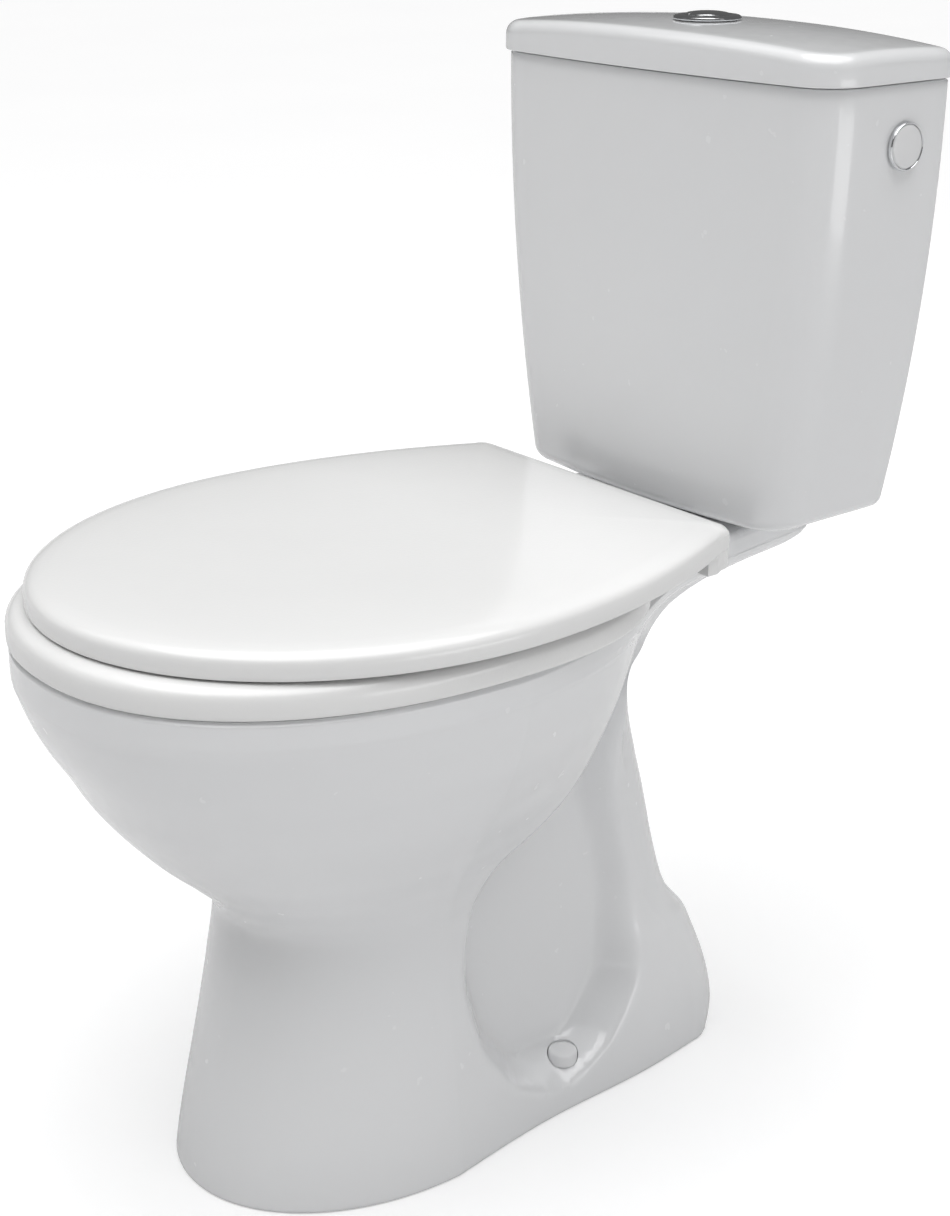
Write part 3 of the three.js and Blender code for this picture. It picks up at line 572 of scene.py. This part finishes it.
# The raised part of the deck that the cistern stands over, with a well rounded edge
PLATFORM_ROUND = 5.5
platform_levels = [(395, 0.4, -137), (RIM_TOP, 0, -136), (402, 0, -133.5)]
for k in range(8):
    t = k / 7 * math.pi / 2
    drawn_in = PLATFORM_ROUND * (1 - math.cos(t))
    z = DECK_TOP - PLATFORM_ROUND * (1 - math.sin(t))
    platform_levels.append((z, drawn_in, -131.2 + 1.4 * drawn_in))
platform_levels.append((DECK_TOP, 20, -100))
platform_rings = [at_height(platform_outline(inset, front), z) for z, inset, front in platform_levels]
platform = skin("platform", platform_rings)
combine(pan, platform, "UNION")
combine(pan, channel("keel", 36, 396, ((-250, 0), (-30, 0), (-27.2, 0.6), (-25.4, 2), (-25, 4))), "UNION")

# The bowl, the flushing channel under the rim and the opening, as one space
RIM_ROUND = 5.0
space = [at_height(oval(13, -369, -351), 92.5), at_height(oval(21, -374, -346), 93.6)]
space += [at_height(bowl_oval(z), z) for z in spaced(96, 350, 5)]
space += [at_height(oval(161, -590, -242), z) for z in (352, 384)]
space += [at_height(oval(hw, -430 - hw, -394 + hw), z) for hw, z in ((159, 385), (142, 385))]
space += [at_height(oval(141, -571, -253), z) for z in (384, 362, 353)]
for d, z in ((1.6, 350.8), (4.5, 350), (7.4, 350.8)):
    space.append(at_height(oval(141 - d, -571 + d, -253 - d), z))
space += [at_height(oval(132, -562, -262), z) for z in (353, 370, RIM_TOP - RIM_ROUND)]
for k in range(1, 6):
    t = k / 5 * math.pi / 2
    out = RIM_ROUND * (1 - math.cos(t))
    space.append(at_height(oval(132 + out, -562 - out, -262 + out), RIM_TOP - RIM_ROUND * (1 - math.sin(t))))
space.append(at_height(oval(132 + RIM_ROUND, -562 - RIM_ROUND, -262 + RIM_ROUND), RIM_TOP + 4))
combine(pan, skin("bowl_space", space), "DIFFERENCE")
combine(pan, waterway("trap_bore", TRAP_BORE), "DIFFERENCE")
combine(pan, channel("chamber", 27, 386, ((-258, 0), (-36, 0))), "DIFFERENCE")
holes = [rod("outlet_bore", 43, -2, 40, 0, -180), rod("inlet_hole", 31, 378, 402, 0, FLUSH_Y)]
holes.append(rod("seal_seat", 49, RIM_TOP, 420, 0, FLUSH_Y, 96))
for side in (-1, 1):
    bolt_steps = [(0, 340), (12, 340), (12, 388), (4, 388), (4, 420), (0, 420)]
    holes.append(turned("bolt_hole", bolt_steps, (side * BOLT["x"], BOLT["y"], 0), steps=40))
    holes.append(rod("hinge_hole", 7, 376, 402, side * HINGE["x"], HINGE["y"]))
    fixing_steps = [(0, -2), (5, -2), (5, FLOOR_FIXING["z"]), (11.4, FLOOR_FIXING["z"]), (11.4, 70), (0, 70)]
    holes.append(turned("fixing_hole", fixing_steps, (side * FLOOR_FIXING["x"], FLOOR_FIXING["y"], 0)))
combine(pan, together("pan_holes", *holes), "DIFFERENCE")
settle(pan, "fixed_parts", glaze, "china", "pan", angle=40)

# --- The cistern ------------------------------------------------------------------------------------
# A tapered tank of the same glazed china, open at the top, with rounded lower edges. It stands on the
# deck on a rubber ring and is drawn down on it by two bolts through its floor.

CISTERN_FLOOR = 419.6
CISTERN_TOP = 725
CISTERN_WALL = 9
TANK = {"half_width": 166, "depth": 127, "draft": 29, "front_corner": 32, "bow": 7}
SIDE_HOLE = {"y": -45, "z": 685, "radius": 8}


def box_outline(half_width, depth, inset=0.0):
    front = -depth + inset
    side = half_width - inset
    corner = max(TANK["front_corner"] - inset, 6)
    steps = 24
    half = []
    for i in range(steps + 1):
        share = i / steps
        half.append((share * (side - corner), front + TANK["bow"] * share * share))
    for i in range(1, 17):
        t = i / 16 * math.pi / 2
        half.append((side - corner * (1 - math.sin(t)), front + TANK["bow"] + corner * (1 - math.cos(t))))
    front_end = front + TANK["bow"] + corner
    back_radius = max(8 - inset, 3)
    flat_end = -inset - back_radius
    half += [(side, front_end + (flat_end - front_end) * i / 8) for i in range(1, 8)]
    half += back_corner(side, -inset, back_radius, 6, 12)
    return mirrored(half)


def tank_outline(z, inset=0.0):
    drop = (CISTERN_TOP - z) / (CISTERN_TOP - 441)
    return box_outline(TANK["half_width"] - TANK["draft"] * drop * drop, TANK["depth"] - drop, inset)


def quarter_round(radius, steps=6):
    """(inset, rise) pairs up a rounded lower edge, from the flat to the wall."""
    pairs = []
    for k in range(steps + 1):
        t = k / steps * math.pi / 2
        pairs.append((radius * (1 - math.sin(t)), radius * (1 - math.cos(t))))
    return pairs


FLOOR_ROUND = 9
TOP_ROUND = 1.6
tank = [at_height(tank_outline(CISTERN_FLOOR, 40), CISTERN_FLOOR)]
for inset, rise in quarter_round(FLOOR_ROUND, 8):
    z = CISTERN_FLOOR + rise
    tank.append(at_height(tank_outline(z, inset), z))
tank += [at_height(tank_outline(z), z) for z in spaced(440, CISTERN_TOP - TOP_ROUND, 9)]
for inset, rise in reversed(quarter_round(TOP_ROUND, 3)[:-1]):
    tank.append(at_height(tank_outline(CISTERN_TOP, inset), CISTERN_TOP - rise))
for inset, rise in quarter_round(TOP_ROUND, 3):
    tank.append(at_height(tank_outline(CISTERN_TOP, CISTERN_WALL - inset), CISTERN_TOP - rise))
tank += [at_height(tank_outline(z, CISTERN_WALL), z) for z in reversed(spaced(440, 720, 20))]
INNER_FLOOR = CISTERN_FLOOR + 10
tank += [at_height(tank_outline(434, 11.5), 434), at_height(tank_outline(431, 18), INNER_FLOOR)]
tank.append(at_height(tank_outline(431, 40), INNER_FLOOR))
cistern = skin("cistern_china", tank)
tank_holes = [rod("outlet_hole", 31.5, 400, 450, 0, FLUSH_Y)]
for side in (-1, 1):
    tank_holes.append(rod("bolt_hole", 4, 400, 450, side * BOLT["x"], BOLT["y"], 24))
    bar = [(0, -20), (SIDE_HOLE["radius"], -20), (SIDE_HOLE["radius"], 20), (0, 20)]
    tank_holes.append(turned("side_hole", bar, (side * 162, SIDE_HOLE["y"], SIDE_HOLE["z"]), "X", 32))
combine(cistern, together("tank_holes", *tank_holes), "DIFFERENCE")
settle(cistern, "fixed_parts", glaze, "china", "cistern")

# --- The cistern lid --------------------------------------------------------------------------------
# A thick china lid, arched from side to side, that overhangs the tank by a couple of millimetres. A
# lip inside the tank keeps it in place, and its own weight holds it down.

LID_TOP = 755
LID_BOTTOM = CISTERN_TOP + 1.1
LID_ROUND = 9.0
BUTTON_Y = -64


def lid_outline(inset):
    return box_outline(TANK["half_width"] + 2.5, TANK["depth"] + 3, inset)


def lid_crown(x, y):
    across = min(1.0, abs(x) / 170)
    along = (y + 64) / 66
    return LID_TOP - 8.5 * across ** 2.2 - 2.6 * along * along


def lid_ring(inset, drop):
    return [(x, y, lid_crown(x, y) - drop) for x, y in lid_outline(inset)]


def lid_middle(share):
    """The middle of the top, drawn in towards the button by the given share."""
    rows = [(x * share, BUTTON_Y + (y - BUTTON_Y) * share) for x, y in lid_outline(44)]
    return [(x, y, lid_crown(x, y)) for x, y in rows]


lid = [lid_middle(k / 16) for k in range(2, 16)]
lid += [lid_ring(inset, 0) for inset in (44, 36, 28, 20, 14)]
for k in range(0, 9):
    t = k / 8 * math.pi / 2
    lid.append(lid_ring(LID_ROUND * (1 - math.sin(t)), LID_ROUND * (1 - math.cos(t))))
lid.append([(x, y, LID_BOTTOM + 7) for x, y in lid_outline(0)])
for inset, rise in reversed(quarter_round(1.2, 4)):
    lid.append(at_height(lid_outline(inset), LID_BOTTOM + rise))
lid += [at_height(lid_outline(i), z) for i, z in ((13.1, LID_BOTTOM), (13.5, LID_BOTTOM - 0.4), (13.5, 717))]
lip_and_ceiling = ((14.4, 716), (17.2, 716), (18, 717), (18, 737), (24, 743), (40, 745))
lid += [at_height(lid_outline(inset), z) for inset, z in lip_and_ceiling]
cistern_lid = skin("lid_china", lid)
combine(cistern_lid, rod("button_hole", 19.2, 700, 780, 0, BUTTON_Y, 64), "DIFFERENCE")
settle(cistern_lid, "lid", glaze, "china", "cistern_lid")

# --- The push button --------------------------------------------------------------------------------
# A chrome plated bezel drops through the lid and a plastic nut holds it from below. Inside it sit the
# two chrome plated halves of the button, the larger for a full flush and the smaller for a half one.


def chrome_recipe(place):
    smear = cloud(place, 0.018, 3.0)
    return {
        "Base Color": blend(place, smear, (0.72, 0.73, 0.75), (0.82, 0.83, 0.84)),
        "Roughness": 0.05 + 0.09 * smear,
    }


chrome = finish("bright_chrome_plate", {"Metallic": 1.0}, chrome_recipe)
BUTTON_TOP = 761
bezel_shape = [
    (16.2, 727), (18.7, 727), (18.7, 755.4), (23.2, 755.4), (24, 756.2), (23.6, 757.4), (22.2, 758.3),
    (20, 758.6), (17.2, 758.6), (16.2, 757.6),
]
bezel = turned("button_bezel_chrome", bezel_shape, (0, BUTTON_Y, 0), steps=96, closed=True, soft=0.25)
settle(bezel, "lid", chrome, "chrome_plate", "button_bezel")
BUTTON_SPLIT = -3
BUTTON_GAP = 0.4
for half, body in (("full", "button_full"), ("half", "button_half")):
    disc_shape = [
        (0, 748), (15.7, 748), (15.7, 757.8), (15.2, 759.0), (13.8, 759.9), (10, 760.5), (5, 760.9),
        (0, BUTTON_TOP),
    ]
    disc = turned(f"button_{half}_chrome", disc_shape, (0, BUTTON_Y, 0), steps=96)
    low, high = (-40, BUTTON_SPLIT + BUTTON_GAP) if half == "full" else (BUTTON_SPLIT - BUTTON_GAP, 40)
    combine(disc, block("button_rest", low, high, -110, -20, 740, 770), "DIFFERENCE")
    round_edges(disc, 0.5, 3, 50)
    settle(disc, body, chrome, "chrome_plate", f"flush_button_{half}")

# --- The blanking plug ------------------------------------------------------------------------------
# The tank has a water inlet hole in each side. The spare one on the right is shut by a round plastic
# plug with a thin bright ring, drawn up by a nut inside.


def gloss_recipe(tint_a, tint_b):
    def recipe(place):
        moulded = cloud(place, 0.09, 2.0)
        skin_grain = cloud(place, 0.0022, 3.0)
        return {
            "Base Color": blend(place, moulded, tint_a, tint_b),
            "Roughness": 0.16 + 0.08 * skin_grain,
            "Normal": relief(place, skin_grain + 6 * moulded, 0.0003, 0.2),
        }
    return recipe


cap_recipe = gloss_recipe((0.82, 0.825, 0.835), (0.85, 0.85, 0.855))
cap_plastic = finish("cap_gloss_plastic", {"IOR": 1.48}, cap_recipe)
plug_at = (166, SIDE_HOLE["y"], SIDE_HOLE["z"])
plug_shape = [
    (0, -20), (7.4, -20), (7.4, 1), (14.4, 1), (14.4, 2.6), (13.9, 3.3), (13, 3.7), (8, 4.05), (0, 4.2),
]
plug = turned("blanking_plug_cap", plug_shape, plug_at, "X", 72)
settle(plug, "fixed_parts", cap_plastic, "cap_plastic", "blanking_plug")
ring_shape = [(14.7, 0.8), (16, 0.8), (16, 2.2), (15.8, 3.0), (15.5, 3.4), (15.0, 3.4), (14.7, 3.1)]
plug_ring = turned("blanking_plug_rim", ring_shape, plug_at, "X", 72, closed=True)
settle(plug_ring, "fixed_parts", chrome, "chrome_plate", "blanking_plug_ring")

# --- The seat ring ----------------------------------------------------------------------------------
# A solid moulding of glossy white plastic with a crowned top, an oval opening, two hinge lugs under
# its back edge and four soft pads that hold it off the china.

RING_BOTTOM = 399.8
RING_TOP = 420


def egg(half_width, front, back, inset):
    half = front_quarter(half_width - inset, front + inset, 2.2, 40)
    length = back - inset - WIDEST_Y
    for i in range(1, 37):
        t = i / 36 * math.pi / 2
        x = 0.0 if i == 36 else (half_width - inset) * math.cos(t) ** 0.8
        half.append((x, WIDEST_Y + length * math.sin(t) ** 0.8))
    return mirrored(half)


def ring_rim(inset, z):
    return at_height(egg(179, -607, -186, inset), z)


def ring_hole(inset, z):
    return at_height(egg(108, -553, -262, inset), z)


def between(first, second, share, z):
    return [(a[0] + (b[0] - a[0]) * share, a[1] + (b[1] - a[1]) * share, z) for a, b in zip(first, second)]


seat_plastic_recipe = gloss_recipe((0.872, 0.872, 0.868), (0.895, 0.895, 0.89))
SEAT_FINISH = {"IOR": 1.49, "Coat Weight": 0.35, "Coat Roughness": 0.06}
seat_plastic = finish("seat_gloss_plastic", SEAT_FINISH, seat_plastic_recipe)
outer_side = [
    (2.2, RING_BOTTOM), (1.0, 400.1), (0.4, 400.9), (0.2, 402.6), (0.2, 407), (0.35, 411), (1.0, 413.6),
    (2.2, 415.8),
    (4.2, 417.6), (7, 419), (11, 419.7),
]
inner_side = [
    (-14, 419.5), (-8, 418.6), (-4, 417), (-1.4, 414.6), (-0.2, 411), (0, 407), (0.4, 403.4), (0.7, 401.4),
    (0.3, 400.3), (-1.0, RING_BOTTOM),
]
ring_rings = [ring_rim(inset, z) for inset, z in outer_side]
crown = [between(ring_rim(11, 0), ring_hole(-14, 0), s, z) for s, z in ((0.33, RING_TOP), (0.66, RING_TOP))]
ring_rings += crown + [ring_hole(inset, z) for inset, z in inner_side]
seat_ring = skin("seat_ring_moulding", ring_rings, loop=True)


def barrel(name, radius, length, x, y, z, soft=0.8):
    half = length / 2
    shape = [(0, -half), (radius - soft, -half), (radius, -half + soft)]
    shape += [(radius, half - soft), (radius - soft, half), (0, half)]
    return turned(name, shape, (x, y, z), "X", 40)


def bore_for_pin(piece, x):
    bar = [(0, -20), (PIN_BORE, -20), (PIN_BORE, 20), (0, 20)]
    combine(piece, turned("pin_bore", bar, (x, HINGE["y"], HINGE["z"]), "X", 32), "DIFFERENCE")


def lug_eye(piece, x):
    combine(piece, barrel("lug_eye", LUG["eye"], 2 * LUG["half_width"], x, HINGE["y"], HINGE["z"]), "UNION")
    bore_for_pin(piece, x)


for side in (-1, 1):
    lug_x = side * (HINGE["x"] - LUG["from_post"])
    low, high = lug_x - LUG["half_width"], lug_x + LUG["half_width"]
    combine(seat_ring, block("lug_arm", low, high, -215, HINGE["y"], 410, RING_TOP - 1.5, 1.0), "UNION")
    lug_eye(seat_ring, lug_x)
settle(seat_ring, "ring", seat_plastic, "seat_plastic", "seat_ring")


def pad_recipe(place):
    scuff = cloud(place, 0.006, 3.0)
    return {
        "Base Color": blend(place, scuff, (0.70, 0.70, 0.68), (0.78, 0.78, 0.76)),
        "Roughness": 0.5 + 0.2 * scuff,
        "Normal": relief(place, scuff, 0.0002, 0.4),
    }


soft_pad = finish("soft_white_pad", {"IOR": 1.45}, pad_recipe)
for end, pad_x, pad_y in (("front", 124, -481), ("back", 138, -315)):
    for side, name in ((-1, "left"), (1, "right")):
        pad_shape = [(0, 398.4), (5.8, 398.4), (6.6, 398.7), (7, 399.2), (7, 399.5), (0, 399.5)]
        pad = turned(f"ring_pad_{end}_{name}", pad_shape, (side * pad_x, pad_y, 0), steps=40)
        settle(pad, "ring", soft_pad, "buffer_plastic", f"seat_buffer_{end}_{name}")

# --- The seat cover ---------------------------------------------------------------------------------
# A thin shell of the same plastic with a rolled edge all round. It hangs on the same hinge pins as the
# ring by two lugs, and a rounded cheek drops from each back corner.

COVER_BOTTOM = 421.4
COVER_TOP = 441


def cover_outline(inset):
    half_width = 186.5 - inset
    back = -151.5 - inset
    corner = max(15 - inset, 5)
    half = front_quarter(half_width, -595 + inset, 2, 40)
    side_end = back - corner
    for i in range(1, 31):
        share = i / 30
        half.append((half_width - 50 * share ** 1.95, WIDEST_Y + (side_end - WIDEST_Y) * share))
    half += back_corner(half_width - 50, back, corner, 8, 14)
    return mirrored(half)


cover_shape = [
    (70, 437), (50, 437), (24, 436), (14, 434.9), (8, 433.2), (5.6, 431), (5, 428), (5, 422.4), (4.4, 421.6),
    (3.4, COVER_BOTTOM), (1.5, COVER_BOTTOM), (0.7, 421.6), (0.25, 422.3), (0.05, 424.5), (0, 429),
    (0.15, 431.4), (0.7, 433.2), (1.8, 434.9), (3.6, 436.4), (6.6, 437.7), (11, 438.7), (18, 439.4),
    (34, 440.2), (55, 440.7), (80, COVER_TOP), (96, COVER_TOP),
]
seat_cover = skin("seat_cover_moulding", [at_height(cover_outline(inset), z) for inset, z in cover_shape])
for side in (-1, 1):
    lug_x = side * (HINGE["x"] + LUG["from_post"])
    low, high = lug_x - LUG["half_width"], lug_x + LUG["half_width"]
    web = block("lug_web", low, high, HINGE["y"] - 8, HINGE["y"] + 8, HINGE["z"], 437, 1.0)
    combine(seat_cover, web, "UNION")
    lug_eye(seat_cover, lug_x)
    low, high = sorted((side * 114, side * 140))
    cheek = skin("cheek", [at_height(cover_outline(0.3), z) for z in (409.5, 433)])
    combine(cheek, block("cheek_block", low, high, -183, -140, 400, 440), "INTERSECT")
    round_edges(cheek, 3.5, 4, 50)
    combine(seat_cover, cheek, "UNION")
settle(seat_cover, "cover", seat_plastic, "seat_plastic", "seat_cover")
for side, name in ((-1, "left"), (1, "right")):
    pad_shape = [(0, 420.4), (4, 420.4), (5, 420.9), (5.4, 422), (6, 434), (0, 434)]
    pad = turned(f"cover_pad_{name}", pad_shape, (side * 128, -455, 0), steps=40)
    settle(pad, "cover", soft_pad, "buffer_plastic", f"cover_buffer_{name}")

# --- The hinge posts --------------------------------------------------------------------------------
# Each post is a round flanged base with an upright eye. Its stud goes down a blind hole in the deck,
# where a rubber sleeve grips it, and a steel pin carries the ring's lug on one side and the cover's
# on the other.

for side, name in ((-1, "left"), (1, "right")):
    x = side * HINGE["x"]
    post = turned(f"hinge_post_body_{name}", [
        (0, 398.4), (14.4, 398.4), (15, 398.9), (14.8, 399.5), (14, 400.1), (12, 400.4), (0, 400.4),
    ], (x, HINGE["y"], 0), steps=56)
    stem = block("post_stem", x - 7, x + 7, HINGE["y"] - 6, HINGE["y"] + 2, 399.5, HINGE["z"], 0.8)
    combine(post, stem, "UNION")
    combine(post, barrel("post_eye", 7, 14, x, HINGE["y"], HINGE["z"]), "UNION")
    combine(post, rod("post_stud", 4, 380, 400, x, HINGE["y"], 32), "UNION")
    bore_for_pin(post, x)
    settle(post, "fixed_parts", seat_plastic, "seat_plastic", f"hinge_post_{name}")

# --- The floor caps ---------------------------------------------------------------------------------
# A small white cap snaps over the bush of each floor screw, at the bottom of the hollow in the foot.

for side, name in ((-1, "left"), (1, "right")):
    cap_at = (side * FLOOR_FIXING["x"], FLOOR_FIXING["y"], FLOOR_FIXING["z"] + 0.4)
    cap_shape = [
        (0, 8), (8.6, 7.4), (9.8, 6), (9.8, 0), (11, 0), (10.8, 5), (10.55, 7.6), (10.1, 8.7),
        (9.2, 9.4), (5, 9.9), (0, 10),
    ]
    cap = turned(f"floor_cap_body_{name}", cap_shape, cap_at, steps=64)
    settle(cap, "fixed_parts", cap_plastic, "cap_plastic", f"floor_cap_{name}")

# --- The works inside the tank and the fixings --------------------------------------------------------
# The flush valve, the fill valve and the bolts are bought in. They are injection moulded plastics,
# turned brass, zinc plated steel and rubber, and only show with the lid lifted off.


def moulded_recipe(tint_a, tint_b, rough):
    def recipe(place):
        flow = cloud(place, 0.03, 3.0)
        grain = cloud(place, 0.0012, 2.0)
        return {
            "Base Color": blend(place, flow, tint_a, tint_b),
            "Roughness": rough + 0.14 * grain,
            "Normal": relief(place, grain + 2 * flow, 0.0002, 0.4),
        }
    return recipe


def rubber_recipe(place):
    bloom = cloud(place, 0.008, 4.0)
    return {
        "Base Color": blend(place, bloom, (0.014, 0.014, 0.015), (0.045, 0.044, 0.043)),
        "Roughness": 0.62 + 0.25 * bloom,
        "Normal": relief(place, bloom, 0.0003, 0.5),
    }


def metal_recipe(tint_a, tint_b, rough):
    def recipe(place):
        stretched = place.node("ShaderNodeMapping", {}, {"Vector": place, "Scale": (1, 1, 9)})
        lathe = place.node("ShaderNodeTexNoise", {}, {"Vector": stretched, "Scale": 420.0, "Detail": 2.0})
        dull = cloud(place, 0.01, 3.0)
        return {
            "Base Color": blend(place, dull, tint_a, tint_b),
            "Roughness": rough + 0.12 * dull + 0.1 * lathe,
            "Normal": relief(place, lathe, 0.0001, 0.4),
        }
    return recipe


white_recipe = moulded_recipe((0.76, 0.76, 0.75), (0.83, 0.83, 0.82), 0.34)
blue_recipe = moulded_recipe((0.085, 0.2, 0.34), (0.12, 0.26, 0.42), 0.36)
zinc_recipe = metal_recipe((0.44, 0.45, 0.47), (0.58, 0.59, 0.6), 0.24)
white_moulded = finish("white_moulded_plastic", {}, white_recipe)
blue_moulded = finish("blue_moulded_plastic", {}, blue_recipe)
grey_moulded = finish("grey_soft_plastic", {}, moulded_recipe((0.28, 0.3, 0.31), (0.35, 0.37, 0.38), 0.42))
black_rubber = finish("black_rubber", {}, rubber_recipe)
brass = finish("turned_brass", {"Metallic": 1.0}, metal_recipe((0.5, 0.34, 0.12), (0.66, 0.48, 0.2), 0.22))
zinc = finish("bright_zinc_steel", {"Metallic": 1.0}, zinc_recipe)

bought_in = {
    "white_plastic": white_moulded,
    "blue_plastic": blue_moulded,
    "grey_plastic": grey_moulded,
    "black_rubber": black_rubber,
    "brass": brass,
    "zinc_steel": zinc,
    "china": glaze,
    "seat_plastic": seat_plastic,
    "chrome_plate": chrome,
    "cap_plastic": cap_plastic,
    "buffer_plastic": soft_pad,
}
for entry in frame["record"]["subparts"]:
    node = frame["nodes"][entry["node"]]
    node.data.materials.clear()
    node.data.materials.append(bought_in[entry["material_slot"]])
    if not node.hide_render:
        hold(node)
        bpy.ops.object.shade_smooth_by_angle(angle=math.radians(38))

deselect_all()
